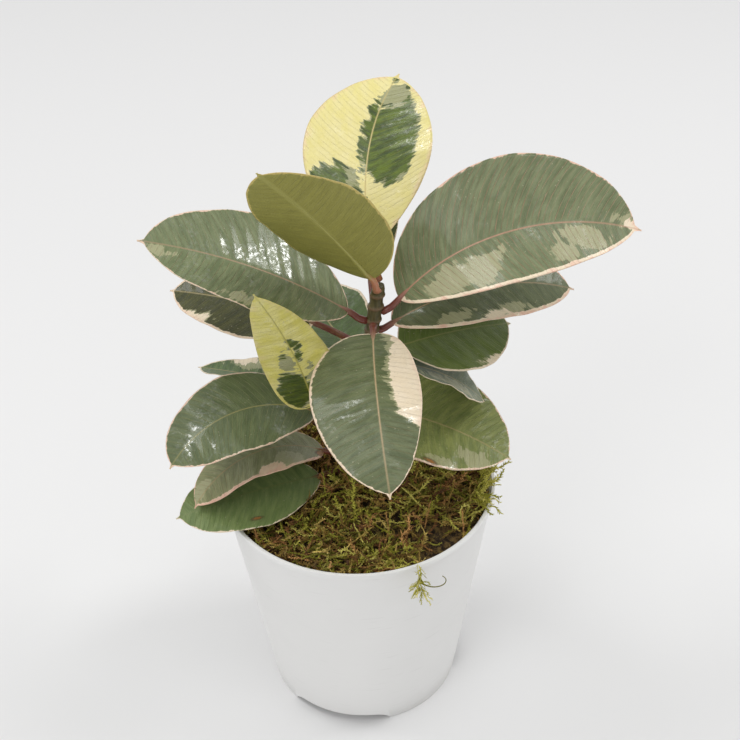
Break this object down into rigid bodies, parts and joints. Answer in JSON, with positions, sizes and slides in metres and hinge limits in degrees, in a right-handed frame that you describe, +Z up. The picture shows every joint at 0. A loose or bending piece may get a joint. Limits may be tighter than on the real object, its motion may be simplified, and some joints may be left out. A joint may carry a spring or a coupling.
{
  "type": "potted rubber plant",
  "caption": "Young variegated rubber plant with glossy cream-edged leaves on a single upright stem, in a plain tapered white nursery pot with soil and a moss top.",
  "frame": {"origin": "on the surface the pot stands on, under the middle of the whole plant's bounding box", "axes": "+Z up, along the plant's height; the front leaf points to -Y"},
  "size_m": [0.2392, 0.206, 0.3524],
  "materials": {
    "pot_plastic": "satin",
    "soil": "matte",
    "moss": "matte",
    "stem": "satin",
    "bud_sheath": "satin",
    "green_leaf": "gloss",
    "pale_leaf": "gloss",
    "leaf_underside": "satin"
  },
  "bodies": {
    "root": {"pot": "pot_plastic", "soil": "soil", "moss": "moss", "stem": "stem", "bud_sheath": "bud_sheath", "leaf_top": "pale_leaf", "leaf_youngest": "leaf_underside", "leaf_upper_left": "green_leaf", "leaf_upper_right": "green_leaf", "leaf_right_second": "green_leaf", "leaf_right_back": "green_leaf", "leaf_right_inner": "green_leaf", "leaf_lower_right": "green_leaf", "leaf_front": "green_leaf", "leaf_yellow": "pale_leaf", "leaf_left_back": "green_leaf", "leaf_back_low": "green_leaf", "leaf_back_high": "green_leaf", "leaf_left_small": "green_leaf", "leaf_lower_left": "green_leaf", "leaf_lower_left_second": "green_leaf", "leaf_lowest": "green_leaf"}
  },
  "joints": []
}
